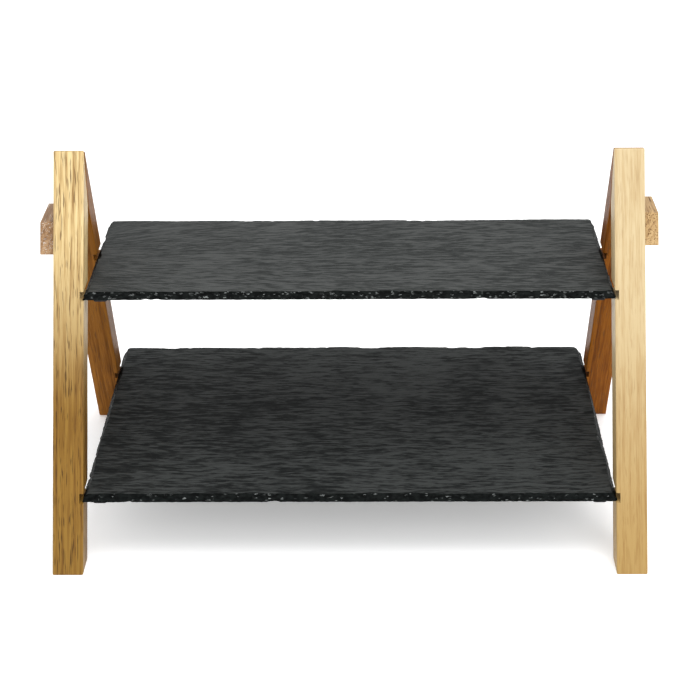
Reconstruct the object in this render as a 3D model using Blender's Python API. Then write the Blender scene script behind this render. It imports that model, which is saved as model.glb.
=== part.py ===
"""Tiered cake stand: two riven slates slid into cross dados between two wooden A-frame ends.

Each end is a front leg and a rear leg whose heads meet in an upright mitre. A cleat on the outer
side, its ends sloping with the legs, bridges the two and is fixed with two panel pins into each leg.
The slates stand on the lower sides of horizontal dados cut across the inner faces of the legs, and
pull out towards the front.

Metres, +Z up, +X to the right, the front of the stand towards -Y. The origin is the middle of the
whole stand at floor height.
"""

import math

import bmesh
import bpy
from mathutils import Matrix

# A-frame ends. The left mitre stands a little open, the right one is nearly tight
HEIGHT = 0.284
FOOTPRINT_DEPTH = 0.2874
TOP_FLAT_DEPTH = 0.0044
LEG_WIDTH = 0.0228
LEG_THICKNESS = 0.0213
LEG_EDGE_ROUND = 0.0006
MITRE_GAP = {"left": 0.0018, "right": 0.0004}

# Slates: the lower face is the full size, and the chipped edge slopes in to the smaller upper face
SLATE_LENGTH = 0.400
SLATE_THICKNESS = 0.0056
SLATE_EDGE_SLOPE = 0.0033
SLATE_CORNER_RADIUS = 0.006
LOWER_SLATE_DEPTH = 0.2685
UPPER_SLATE_DEPTH = 0.157
LOWER_SLATE_TOP = 0.0535
UPPER_SLATE_TOP = 0.1886
SLATE_SETBACK = 0.001

# Dados across the inner faces of the legs
DADO_DEPTH = 0.003
SLATE_GRIP = 0.0015
DADO_CLEARANCE_UNDER = 0.0003
DADO_CLEARANCE_OVER = 0.0006

# Cleats on the outer faces, near the apex; the right one sits a little higher
CLEAT_HEIGHT = 0.0222
CLEAT_THICKNESS = 0.0106
CLEAT_SETBACK = 0.0066
CLEAT_BELOW_TOP = {"left": 0.0498, "right": 0.045}
CLEAT_EDGE_ROUND = 0.0005
FACE_GAP = 0.0003

# Panel pins through each cleat into the legs
PIN_RADIUS = 0.0008
PIN_HEAD_RADIUS = 0.0013
PIN_HEAD_THICKNESS = 0.0008
PIN_SUNK = 0.0003
PIN_BITE = 0.010
PIN_FROM_CLEAT_EDGE = 0.006
PIN_CLEARANCE = 0.0003

# Foam pads under the slates
PAD_SIDE = 0.0105
PAD_THICKNESS = 0.002
PAD_CORNER_RADIUS = 0.0015
PAD_FROM_SLATE_END = 0.008
PAD_FROM_SLATE_EDGE = 0.003

ROUND_SEGMENTS = 20
CORNER_SEGMENTS = 4
CUT_OVERRUN = 0.002

# Worked out from the driving sizes
HALF_FOOTPRINT = FOOTPRINT_DEPTH / 2
HALF_TOP = TOP_FLAT_DEPTH / 2
LEAN = math.atan2(HALF_FOOTPRINT - HALF_TOP, HEIGHT)
LEG_SECTION = LEG_THICKNESS / math.cos(LEAN)
INNER_PLANE = SLATE_LENGTH / 2 - SLATE_GRIP


def leg_face_depth(height):
    """Distance of a leg's outer sloping face from the upright mid-plane of its A-frame, at a height."""
    return HALF_FOOTPRINT - height * math.tan(LEAN)


def slate_front(top):
    """Front edge of a slate's lower face, measured from the A-frames' mid-plane."""
    return SLATE_SETBACK - leg_face_depth(top - SLATE_THICKNESS)


def middle_y():
    """Place of the A-frames' mid-plane that centres the whole stand, rear overhangs included."""
    backs = (
        HALF_FOOTPRINT,
        slate_front(LOWER_SLATE_TOP) + LOWER_SLATE_DEPTH,
        slate_front(UPPER_SLATE_TOP) + UPPER_SLATE_DEPTH,
    )
    return (HALF_FOOTPRINT - max(backs)) / 2


def clear_scene():
    """Remove every object of the scene."""
    for obj in list(bpy.data.objects):
        bpy.data.objects.remove(obj, do_unlink=True)


def make_material(name, colour, roughness, metallic=0.0):
    """Return a Principled material of one colour."""
    material = bpy.data.materials.new(name)
    material.use_nodes = True
    shader = material.node_tree.nodes["Principled BSDF"]
    shader.inputs["Base Color"].default_value = (*colour, 1.0)
    shader.inputs["Roughness"].default_value = roughness
    shader.inputs["Metallic"].default_value = metallic
    material.diffuse_color = (*colour, 1.0)
    return material


def make_group(name, location=(0.0, 0.0, 0.0)):
    """Return an empty that carries one moving group of pieces."""
    empty = bpy.data.objects.new(name, None)
    empty.empty_display_size = 0.03
    empty.location = location
    bpy.context.scene.collection.objects.link(empty)
    return empty


def make_object(name, bm, material=None, parent=None, location=(0.0, 0.0, 0.0)):
    """Turn a bmesh into an object placed by its location under its group's empty."""
    bmesh.ops.recalc_face_normals(bm, faces=bm.faces)
    mesh = bpy.data.meshes.new(name)
    bm.to_mesh(mesh)
    bm.free()
    if material:
        mesh.materials.append(material)
    obj = bpy.data.objects.new(name, mesh)
    obj.location = location
    obj.parent = parent
    bpy.context.scene.collection.objects.link(obj)
    return obj


def shade_round(obj, angle=35.0):
    """Shade a round piece smooth, with its creases kept sharp."""
    obj.data.shade_smooth()
    obj.data.set_sharp_from_angle(angle=math.radians(angle))


def prism(outline, height):
    """Return a bmesh that carries a flat XY outline up by a height, both ends closed."""
    bm = bmesh.new()
    base = bm.faces.new([bm.verts.new((x, y, 0.0)) for x, y in outline])
    raised = bmesh.ops.extrude_face_region(bm, geom=[base])["geom"]
    top = [item for item in raised if isinstance(item, bmesh.types.BMVert)]
    bmesh.ops.translate(bm, verts=top, vec=(0.0, 0.0, height))
    bmesh.ops.recalc_face_normals(bm, faces=bm.faces)
    return bm


def box(size):
    """Return a bmesh box of a size, centred on its own origin."""
    bm = bmesh.new()
    bmesh.ops.create_cube(bm, size=1.0, matrix=Matrix.Diagonal((*size, 1.0)))
    return bm


def rounded_rectangle(length, depth, radius):
    """Return the XY outline of a rectangle with round corners, centred on the origin."""
    points = []
    for quarter, (sx, sy) in enumerate(((1, 1), (-1, 1), (-1, -1), (1, -1))):
        centre = (sx * (length / 2 - radius), sy * (depth / 2 - radius))
        for step in range(CORNER_SEGMENTS + 1):
            turn = math.pi / 2 * (quarter + step / CORNER_SEGMENTS)
            points.append((centre[0] + radius * math.cos(turn), centre[1] + radius * math.sin(turn)))
    return points


def turned(profile):
    """Return a closed bmesh turned about X from (distance along, radius) pairs."""
    bm = bmesh.new()
    rings = []
    for along, radius in profile:
        ring = []
        for step in range(ROUND_SEGMENTS):
            turn = math.tau * step / ROUND_SEGMENTS
            ring.append(bm.verts.new((along, radius * math.cos(turn), radius * math.sin(turn))))
        rings.append(ring)
    for first, second in zip(rings, rings[1:]):
        for step in range(ROUND_SEGMENTS):
            following = (step + 1) % ROUND_SEGMENTS
            bm.faces.new((first[step], first[following], second[following], second[step]))
    bm.faces.new(rings[0])
    bm.faces.new(rings[-1])
    bmesh.ops.recalc_face_normals(bm, faces=bm.faces)
    return bm


def make_cutter(name, bm, parent, location):
    """Return a hidden cutting body."""
    cutter = make_object(name, bm, parent=parent, location=location)
    cutter.display_type = "WIRE"
    cutter.hide_render = True
    return cutter


def cut(obj, cutter):
    """Take a cutter's volume out of an object."""
    modifier = obj.modifiers.new(cutter.name, "BOOLEAN")
    modifier.operation = "DIFFERENCE"
    modifier.solver = "EXACT"
    modifier.object = cutter


def side_prism(outline, width, middle_x=0.0):
    """Return a bmesh that carries a (depth, height) outline across a width along X."""
    bm = bmesh.new()
    near = middle_x - width / 2
    side = bm.faces.new([bm.verts.new((near, depth, height)) for depth, height in outline])
    raised = bmesh.ops.extrude_face_region(bm, geom=[side])["geom"]
    far = [item for item in raised if isinstance(item, bmesh.types.BMVert)]
    bmesh.ops.translate(bm, verts=far, vec=(width, 0.0, 0.0))
    bmesh.ops.recalc_face_normals(bm, faces=bm.faces)
    return bm


def leg_outline(mitre):
    """Side outline of a rear leg as (distance behind the mid-plane, height) pairs."""
    inner_foot = HALF_FOOTPRINT - LEG_SECTION
    crotch = (inner_foot - mitre) / math.tan(LEAN)
    return [
        (inner_foot, 0.0),
        (HALF_FOOTPRINT, 0.0),
        (HALF_TOP, HEIGHT),
        (mitre, HEIGHT),
        (mitre, crotch),
    ]


def leg_solid(front_or_rear, mitre):
    """Return a leg about its A-frame's mid-plane, its long edges eased and its mitre left crisp."""
    outline = [(front_or_rear * depth, height) for depth, height in leg_outline(mitre)]
    bm = side_prism(outline, LEG_WIDTH)
    crisp = mitre + FACE_GAP / 2
    eased = [edge for edge in bm.edges if max(abs(vert.co.y) for vert in edge.verts) > crisp]
    bmesh.ops.bevel(bm, geom=eased, offset=LEG_EDGE_ROUND, segments=2, profile=0.5, affect="EDGES")
    return bm


def pin_places(cleat_top):
    """Panel pins of a cleat: leg, distance from the mid-plane and height, along each leg's middle."""
    inset = (CLEAT_SETBACK + LEG_SECTION) / 2
    places = []
    for leg, direction in (("front", -1), ("rear", 1)):
        for level, drop in (("upper", PIN_FROM_CLEAT_EDGE), ("lower", CLEAT_HEIGHT - PIN_FROM_CLEAT_EDGE)):
            height = cleat_top - drop
            places.append((leg, level, direction * (leg_face_depth(height) - inset), height))
    return places


def pin_profile(clearance):
    """Turned profile of a panel pin, from its head at 0 to its point, grown by a clearance."""
    length = CLEAT_THICKNESS - PIN_SUNK + FACE_GAP + PIN_BITE
    grown = 0.0 if clearance == 0.0 else CUT_OVERRUN
    neck = PIN_HEAD_THICKNESS + clearance
    return [
        (-grown, PIN_HEAD_RADIUS + clearance),
        (neck, PIN_HEAD_RADIUS + clearance),
        (neck, PIN_RADIUS + clearance),
        (length - PIN_RADIUS + clearance, PIN_RADIUS + clearance),
        (length + clearance, PIN_RADIUS / 3 + clearance),
    ]


def dado_cutter(name, side, top, frame):
    """Return the long bar that cuts one dado across the inner faces of both legs of a frame."""
    under = top - SLATE_THICKNESS - DADO_CLEARANCE_UNDER
    over = top + DADO_CLEARANCE_OVER
    width = DADO_DEPTH + CUT_OVERRUN
    inner = -side * LEG_WIDTH / 2
    centre = (inner + side * (DADO_DEPTH - width / 2), 0.0, (under + over) / 2)
    return make_cutter(name, box((width, FOOTPRINT_DEPTH + CUT_OVERRUN, over - under)), frame, centre)


def build_cleat(label, side, frame, wood):
    """Return the block that bridges both legs of a frame, its ends sloping with the legs."""
    top = HEIGHT - CLEAT_BELOW_TOP[label]
    bottom = top - CLEAT_HEIGHT
    outline = []
    for height, ends in ((bottom, (-1, 1)), (top, (1, -1))):
        reach = leg_face_depth(height) - CLEAT_SETBACK
        outline.extend((end * reach, height) for end in ends)
    bm = side_prism(outline, CLEAT_THICKNESS, side * (LEG_WIDTH / 2 + FACE_GAP + CLEAT_THICKNESS / 2))
    bmesh.ops.bevel(bm, geom=bm.edges[:], offset=CLEAT_EDGE_ROUND, segments=2, profile=0.5, affect="EDGES")
    return make_object(f"{label}_cleat", bm, wood, frame)


def build_pins(label, side, frame, cleat, legs, steel):
    """Drive the panel pins of one cleat, each in its own hole through the cleat into its leg."""
    head = side * (LEG_WIDTH / 2 + FACE_GAP + CLEAT_THICKNESS - PIN_SUNK)
    half_turn = Matrix.Rotation(math.pi, 3, "Z")
    for leg, level, depth, height in pin_places(HEIGHT - CLEAT_BELOW_TOP[label]):
        spot = (head, depth, height)
        solids = {}
        for kind, clearance in (("pin", 0.0), ("hole", PIN_CLEARANCE)):
            solids[kind] = turned(pin_profile(clearance))
            if side > 0:
                bmesh.ops.rotate(solids[kind], verts=solids[kind].verts, cent=(0, 0, 0), matrix=half_turn)
        hole = make_cutter(f"{label}_{leg}_{level}_pin_cutter", solids["hole"], frame, spot)
        cut(cleat, hole)
        cut(legs[leg], hole)
        shade_round(make_object(f"{label}_{leg}_{level}_pin", solids["pin"], steel, frame, spot))


def build_end_frame(label, side, middle, materials):
    """Build one A-frame end: two legs, the cleat that bridges them and its pins."""
    frame = make_group(f"{label}_end_frame", (side * (INNER_PLANE + LEG_WIDTH / 2), middle, 0.0))
    legs = {}
    for place, direction in (("front", -1), ("rear", 1)):
        solid = leg_solid(direction, MITRE_GAP[label] / 2)
        legs[place] = make_object(f"{label}_{place}_leg", solid, materials["leg"], frame)
    for tier, top in (("lower", LOWER_SLATE_TOP), ("upper", UPPER_SLATE_TOP)):
        cutter = dado_cutter(f"{label}_{tier}_dado_cutter", side, top, frame)
        cut(legs["front"], cutter)
        cut(legs["rear"], cutter)
    cleat = build_cleat(label, side, frame, materials["cleat"])
    build_pins(label, side, frame, cleat, legs, materials["steel"])


def slate_solid(depth):
    """Return a slate about its own middle: full size below, sloping in to the upper face."""
    lower = rounded_rectangle(SLATE_LENGTH, depth, SLATE_CORNER_RADIUS)
    bm = prism(lower, SLATE_THICKNESS)
    shrink_x = 1 - 2 * SLATE_EDGE_SLOPE / SLATE_LENGTH
    shrink_y = 1 - 2 * SLATE_EDGE_SLOPE / depth
    for vert in bm.verts:
        if vert.co.z > SLATE_THICKNESS / 2:
            vert.co.x *= shrink_x
            vert.co.y *= shrink_y
    return bm


def build_tier(label, top, depth, middle, materials):
    """Build one slate and the four foam pads under its corners."""
    centre_y = middle + slate_front(top) + depth / 2
    under = top - SLATE_THICKNESS
    tier = make_group(f"{label}_tier", (0.0, centre_y, under))
    make_object(f"{label}_slate", slate_solid(depth), materials["slate"], tier)
    pad = rounded_rectangle(PAD_SIDE, PAD_SIDE, PAD_CORNER_RADIUS)
    reach_x = SLATE_LENGTH / 2 - PAD_FROM_SLATE_END - PAD_SIDE / 2
    reach_y = depth / 2 - PAD_FROM_SLATE_EDGE - PAD_SIDE / 2
    for end, sy in (("front", -1), ("rear", 1)):
        for hand, sx in (("left", -1), ("right", 1)):
            spot = (sx * reach_x, sy * reach_y, -FACE_GAP - PAD_THICKNESS)
            make_object(f"{label}_{end}_{hand}_pad", prism(pad, PAD_THICKNESS), materials["foam"], tier, spot)


def main():
    """Build the whole stand."""
    clear_scene()
    materials = {
        "leg": make_material("honey_wood", (0.46, 0.29, 0.12), 0.55),
        "cleat": make_material("cleat_wood", (0.45, 0.30, 0.19), 0.65),
        "steel": make_material("pin_steel", (0.56, 0.57, 0.58), 0.35, 1.0),
        "slate": make_material("riven_slate", (0.035, 0.037, 0.039), 0.55),
        "foam": make_material("black_foam", (0.012, 0.012, 0.013), 0.9),
    }
    middle = middle_y()
    for label, side in (("left", -1), ("right", 1)):
        build_end_frame(label, side, middle, materials)
    build_tier("lower", LOWER_SLATE_TOP, LOWER_SLATE_DEPTH, middle, materials)
    build_tier("upper", UPPER_SLATE_TOP, UPPER_SLATE_DEPTH, middle, materials)


main()
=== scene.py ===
"""Looks of the tiered cake stand: riven slates carried between two wooden A-frame ends.

Metres, +Z up, +X to the right along the slates, the front of the stand towards -Y. Every place
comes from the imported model's boxes, so each piece lies where its solid does.
"""

import logging
import math
from dataclasses import dataclass, field
from enum import Enum
from functools import partial

import bmesh
import bpy
import numpy as np
from mathutils import Matrix, Vector


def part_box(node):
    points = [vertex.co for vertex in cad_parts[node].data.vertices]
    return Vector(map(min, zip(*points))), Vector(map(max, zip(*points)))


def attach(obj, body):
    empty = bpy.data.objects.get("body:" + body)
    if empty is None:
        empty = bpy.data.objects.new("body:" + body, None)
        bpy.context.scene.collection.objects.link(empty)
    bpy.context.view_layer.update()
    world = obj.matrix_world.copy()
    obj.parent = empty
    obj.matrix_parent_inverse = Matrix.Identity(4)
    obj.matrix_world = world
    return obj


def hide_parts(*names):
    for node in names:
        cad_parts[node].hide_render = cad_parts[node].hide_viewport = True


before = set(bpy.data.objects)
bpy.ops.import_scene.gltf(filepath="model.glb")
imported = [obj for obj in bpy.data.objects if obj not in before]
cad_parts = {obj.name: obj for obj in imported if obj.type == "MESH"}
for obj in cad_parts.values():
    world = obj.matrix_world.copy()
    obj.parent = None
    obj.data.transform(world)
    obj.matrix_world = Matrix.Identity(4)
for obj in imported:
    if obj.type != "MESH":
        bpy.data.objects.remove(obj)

logging.basicConfig(level=logging.INFO, format="%(message)s")
LOG = logging.getLogger("cake_stand")

MILLIMETRE = 0.001
WELD_DISTANCE = 1e-7

Colour = tuple[float, float, float]
Triple = tuple[float, float, float]
Array = np.ndarray
Input = object


class Place(Enum):
    """Where a leg stands in its A-frame, with the side of the mid-plane that it is on."""

    FRONT = -1
    REAR = 1


class Side(Enum):
    """Which end of the stand, with the direction of its outer face."""

    LEFT = -1
    RIGHT = 1


# ---------------------------------------------------------------- surfaces


def grid_quads(rows: int, columns: int, start: int = 0, wrap: bool = False) -> Array:
    """Number the quads of a grid of points that is itself numbered row by row.

    Cell (i, j) joins point (i, j) to its neighbours in the next column, the next row and both.

    Args:
        rows: Rows of points.
        columns: Columns of points.
        start: Number of the grid's first point.
        wrap: Whether the last column joins the first.

    Returns:
        Whole numbers, one row of four for each quad.
    """
    row, column = np.meshgrid(
        np.arange(rows - 1), np.arange(columns if wrap else columns - 1), indexing="ij"
    )
    following = (column + 1) % columns
    corners = [
        row * columns + column,
        row * columns + following,
        (row + 1) * columns + following,
        (row + 1) * columns + column,
    ]
    return start + np.stack(corners, axis=-1).reshape(-1, 4)


def join_rings(coarse: Array, fine: Array) -> Array:
    """Close the band between a ring of points and a ring of twice as many.

    Each step of the coarse ring faces two steps of the fine one and takes three triangles.

    Args:
        coarse: Point numbers of the coarse ring, in order.
        fine: Point numbers of the fine ring, which starts beside the coarse one.

    Returns:
        Whole numbers, one row of three for each triangle.
    """
    ahead = np.roll(coarse, -1)
    first, middle, last = fine[0::2], fine[1::2], np.roll(fine[0::2], -1)
    return np.concatenate(
        [
            np.stack([coarse, first, middle], axis=-1),
            np.stack([coarse, middle, ahead], axis=-1),
            np.stack([ahead, middle, last], axis=-1),
        ]
    )


def lattice_noise(along: Array, across: Array, seed: int, period: int = 64) -> Array:
    """Give smooth noise from -1 to 1 over a plane.

    Random heights stand at whole numbers, and between four of them the height is blended with
    the weights 3t^2 - 2t^3 of the distances t.

    Args:
        along: First coordinate; the noise repeats after `period`.
        across: Second coordinate.
        seed: Seed of the random heights.
        period: Whole number of cells after which the first coordinate repeats.

    Returns:
        Noise of the same shape as the coordinates.
    """
    across_cells = 64
    table = np.random.default_rng(seed).uniform(-1.0, 1.0, (period, across_cells))
    along, across = np.broadcast_arrays(along, across)
    cell_a, cell_b = np.floor(along).astype(int), np.floor(across).astype(int)
    part_a, part_b = along - cell_a, across - cell_b
    blend_a = part_a * part_a * (3 - 2 * part_a)
    blend_b = part_b * part_b * (3 - 2 * part_b)
    a0, a1 = cell_a % period, (cell_a + 1) % period
    b0, b1 = cell_b % across_cells, (cell_b + 1) % across_cells
    near = table[a0, b0] * (1 - blend_b) + table[a0, b1] * blend_b
    far = table[a1, b0] * (1 - blend_b) + table[a1, b1] * blend_b
    return near * (1 - blend_a) + far * blend_a


def make_piece(
    name: str,
    points: Array,
    faces: list[Array],
    material: bpy.types.Material,
    marks: dict[str, Array] | None = None,
    crease: float | None = None,
) -> bpy.types.Object:
    """Make an object at the origin from arrays of points and faces, seams welded.

    Args:
        name: Name of the piece.
        points: One row of three metres for each point.
        faces: Arrays of point numbers, each with its own number of corners.
        material: Finish of the whole piece.
        marks: Named values for the material, one for each point.
        crease: Angle in degrees above which an edge stays sharp; None keeps all smooth.

    Returns:
        The new object, linked to the scene.
    """
    mesh = bpy.data.meshes.new(name)
    mesh.from_pydata(points.tolist(), [], [face for part in faces for face in part.tolist()])
    for mark, values in (marks or {}).items():
        layer = mesh.attributes.new(mark, "FLOAT", "POINT")
        layer.data.foreach_set("value", np.asarray(values, np.float32))
    work = bmesh.new()
    work.from_mesh(mesh)
    bmesh.ops.remove_doubles(work, verts=work.verts, dist=WELD_DISTANCE)
    bmesh.ops.recalc_face_normals(work, faces=work.faces)
    if work.calc_volume(signed=True) < 0:
        bmesh.ops.reverse_faces(work, faces=work.faces)
    work.to_mesh(mesh)
    work.free()
    mesh.materials.append(material)
    mesh.shade_smooth()
    if crease is not None:
        mesh.set_sharp_from_angle(angle=math.radians(crease))
    piece = bpy.data.objects.new(name, mesh)
    bpy.context.scene.collection.objects.link(piece)
    return piece


def spin_profile(
    profile: Array, around: int, corner_power: float, half: Triple, centre: Triple
) -> tuple[Array, list[Array]]:
    """Carry a profile round a soft-cornered outline.

    At turn t the outline reaches 1 / (|cos t|^n + |sin t|^n)^(1/n) of the way out, so a high
    power n gives a square with soft corners and 2 gives a circle.

    Args:
        profile: Rows of (reach from 0 to 1, height from -1 to 1), poles first and last.
        around: Number of steps round.
        corner_power: The power n.
        half: Half sizes along X, Y and Z.
        centre: Middle of the shape.

    Returns:
        Points and faces for make_piece.
    """
    turn = np.linspace(0.0, math.tau, around, endpoint=False)
    reach = (np.abs(np.cos(turn)) ** corner_power + np.abs(np.sin(turn)) ** corner_power) ** (
        -1 / corner_power
    )
    out, height = profile[:, :1], profile[:, 1:]
    points = np.stack(
        [
            centre[0] + half[0] * out * reach * np.cos(turn),
            centre[1] + half[1] * out * reach * np.sin(turn),
            centre[2] + half[2] * height * np.ones_like(turn),
        ],
        axis=-1,
    ).reshape(-1, 3)
    return points, [grid_quads(len(profile), around, wrap=True)]


# ---------------------------------------------------------------- finishes


class Bench:
    """Adds and links the nodes of one node tree."""

    def __init__(self, tree: bpy.types.NodeTree) -> None:
        """Keep the tree that the nodes go into."""
        self.tree = tree

    def node(
        self, kind: str, inputs: dict[str | int, Input] | None = None, **settings: Input
    ) -> bpy.types.Node:
        """Add a node, set its options and fill its sockets.

        Args:
            kind: Node type, such as ShaderNodeMath.
            inputs: Socket name or number to a value or to a socket that is linked in.
            **settings: Options of the node.

        Returns:
            The new node.
        """
        made = self.tree.nodes.new(kind)
        for option, value in settings.items():
            setattr(made, option, value)
        for socket, value in (inputs or {}).items():
            self.feed(made.inputs[socket], value)
        return made

    def feed(self, socket: bpy.types.NodeSocket, value: Input) -> None:
        """Link a socket into another, or set its value.

        Args:
            socket: Socket to fill.
            value: A socket, a number, a triple or a colour.
        """
        if isinstance(value, bpy.types.NodeSocket):
            self.tree.links.new(value, socket)
        elif socket.type == "RGBA":
            socket.default_value = (*value, 1.0)
        else:
            socket.default_value = value

    def math(self, operation: str, *values: Input, clamp: bool = False) -> bpy.types.NodeSocket:
        """Return the result of a Math node."""
        return self.node(
            "ShaderNodeMath", dict(enumerate(values)), operation=operation, use_clamp=clamp
        ).outputs[0]

    def vector(self, operation: str, *values: Input) -> bpy.types.NodeSocket:
        """Return the vector result of a Vector Math node."""
        return self.node("ShaderNodeVectorMath", dict(enumerate(values)), operation=operation).outputs[0]

    def stretched(self, vector: Input, scale: Triple) -> bpy.types.NodeSocket:
        """Return a vector multiplied by a scale on each axis."""
        return self.vector("MULTIPLY", vector, scale)

    def noise(self, vector: Input, detail: float = 2.0, distortion: float = 0.0) -> bpy.types.Node:
        """Return a Noise Texture of unit scale on a vector that is already scaled."""
        return self.node(
            "ShaderNodeTexNoise",
            {"Vector": vector, "Scale": 1.0, "Detail": detail, "Roughness": 0.55, "Distortion": distortion},
        )

    def remap(
        self, value: Input, low: Input, high: Input, bottom: Input = 0.0, top: Input = 1.0
    ) -> bpy.types.NodeSocket:
        """Return a value carried smoothly from one range to another and held at its ends."""
        inputs = {"Value": value, "From Min": low, "From Max": high, "To Min": bottom, "To Max": top}
        return self.node("ShaderNodeMapRange", inputs, interpolation_type="SMOOTHSTEP").outputs["Result"]

    def blend(self, factor: Input, first: Input, second: Input, way: str = "MIX") -> bpy.types.NodeSocket:
        """Return two colours mixed by a factor."""
        made = self.node("ShaderNodeMix", data_type="RGBA", blend_type=way)
        for socket, value in ((0, factor), (6, first), (7, second)):
            self.feed(made.inputs[socket], value)
        return made.outputs[2]


def make_group(
    name: str, inputs: dict[str, tuple[str, Input]], outputs: dict[str, str]
) -> tuple[Bench, bpy.types.Node, bpy.types.Node]:
    """Start a node group with named sockets.

    Args:
        name: Name of the group.
        inputs: Socket name to its kind (Float, Color or Vector) and its usual value.
        outputs: Socket name to its kind.

    Returns:
        The bench of the group, its input node and its output node.
    """
    tree = bpy.data.node_groups.new(name, "ShaderNodeTree")
    for socket, (kind, usual) in inputs.items():
        made = tree.interface.new_socket(socket, in_out="INPUT", socket_type=f"NodeSocket{kind}")
        if kind == "Color":
            made.default_value = (*usual, 1.0)
        elif kind == "Float":
            made.default_value = usual
    for socket, kind in outputs.items():
        tree.interface.new_socket(socket, in_out="OUTPUT", socket_type=f"NodeSocket{kind}")
    bench = Bench(tree)
    return bench, bench.node("NodeGroupInput"), bench.node("NodeGroupOutput")


def wood_group() -> bpy.types.NodeTree:
    """Build the sawn and oiled wood shared by legs and cleats, grain along the vector's Z.

    Growth rings are the fractional part of the distance from a wandering pith over the ring
    spacing. Fibres, streaks and pores are noise drawn out along Z, so they show as dots on a
    cross cut.

    Returns:
        The node group.
    """
    bench, given, result = make_group(
        "oiled_wood",
        {
            "Vector": ("Vector", None),
            "Light": ("Color", (0.8, 0.6, 0.35)),
            "Middle": ("Color", (0.6, 0.4, 0.2)),
            "Dark": ("Color", (0.3, 0.17, 0.07)),
            "Pore": ("Color", (0.12, 0.06, 0.02)),
            "Pith": ("Vector", None),
            "Ring Spacing": ("Float", 0.004),
            "Ring Strength": ("Float", 0.5),
            "Streak Strength": ("Float", 0.5),
            "Pore Strength": ("Float", 0.5),
            "Wander": ("Float", 0.004),
            "Cloud": ("Float", 0.4),
            "Arris": ("Float", 0.0),
        },
        {"Color": "Color", "Roughness": "Float", "Height": "Float"},
    )
    place = given.outputs["Vector"]
    drift = bench.noise(bench.stretched(place, (45.0, 45.0, 11.0)), detail=2.0)
    drift = bench.vector("SUBTRACT", drift.outputs["Color"], (0.5, 0.5, 0.5))
    wander = {0: drift, "Scale": given.outputs["Wander"]}
    moved = bench.node("ShaderNodeVectorMath", wander, operation="SCALE").outputs[0]
    place = bench.vector("ADD", place, bench.stretched(moved, (1.0, 1.0, 0.0)))

    offset = bench.stretched(bench.vector("SUBTRACT", place, given.outputs["Pith"]), (1.0, 1.0, 0.05))
    reach = bench.node("ShaderNodeVectorMath", {0: offset}, operation="LENGTH").outputs["Value"]
    ring = bench.math("FRACT", bench.math("DIVIDE", reach, given.outputs["Ring Spacing"]))
    late = bench.math("MULTIPLY", bench.remap(ring, 0.25, 0.85), bench.remap(ring, 1.0, 0.9))
    late = bench.math("MULTIPLY", late, given.outputs["Ring Strength"])

    streak = bench.noise(bench.stretched(place, (620.0, 620.0, 24.0)), detail=3.0).outputs[0]
    fibre = bench.noise(bench.stretched(place, (2300.0, 2300.0, 70.0)), detail=2.0).outputs[0]
    broad = bench.noise(bench.stretched(place, (150.0, 150.0, 9.0)), detail=2.0).outputs[0]
    cloud = bench.noise(bench.stretched(place, (38.0, 38.0, 8.0)), detail=1.0).outputs[0]
    pore_field = bench.noise(bench.stretched(place, (1150.0, 1150.0, 62.0)), detail=1.0).outputs[0]
    dense = bench.remap(broad, 0.35, 0.65, 0.03, -0.03)
    pore = bench.remap(bench.math("ADD", pore_field, dense), 0.60, 0.70)
    pore = bench.math("MULTIPLY", pore, given.outputs["Pore Strength"])

    shade = bench.math("MULTIPLY", bench.remap(streak, 0.36, 0.66), given.outputs["Streak Strength"])
    shade = bench.math("ADD", shade, bench.remap(fibre, 0.3, 0.7, -0.12, 0.12))
    shade = bench.math("ADD", shade, late)
    clouded = bench.math("MULTIPLY", bench.remap(cloud, 0.35, 0.68, -0.5, 0.5), given.outputs["Cloud"])
    shade = bench.math("ADD", shade, clouded)
    shade = bench.math("ADD", shade, bench.remap(broad, 0.3, 0.7, -0.12, 0.12), clamp=True)

    colour = bench.blend(bench.remap(shade, 0.0, 0.5), given.outputs["Light"], given.outputs["Middle"])
    colour = bench.blend(bench.remap(shade, 0.45, 1.0), colour, given.outputs["Dark"])
    colour = bench.blend(pore, colour, given.outputs["Pore"])
    # Painted highlight: the rounded arrises are mixed towards the light colour, standing in for the eased
    # edges catching the light.
    painted_arris_highlight = bench.math("MULTIPLY", given.outputs["Arris"], bench.remap(streak, 0.35, 0.6, 0.75, 0.35))
    colour = bench.blend(painted_arris_highlight, colour, given.outputs["Light"])
    bench.feed(result.inputs["Color"], colour)
    rough = bench.math("ADD", bench.remap(fibre, 0.3, 0.7, 0.36, 0.5), bench.math("MULTIPLY", pore, 0.25))
    bench.feed(result.inputs["Roughness"], rough)
    height = bench.math("SUBTRACT", bench.math("MULTIPLY", fibre, 0.35), pore)
    bench.feed(result.inputs["Height"], bench.math("ADD", height, bench.math("MULTIPLY", streak, 0.3)))
    return bench.tree


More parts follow.
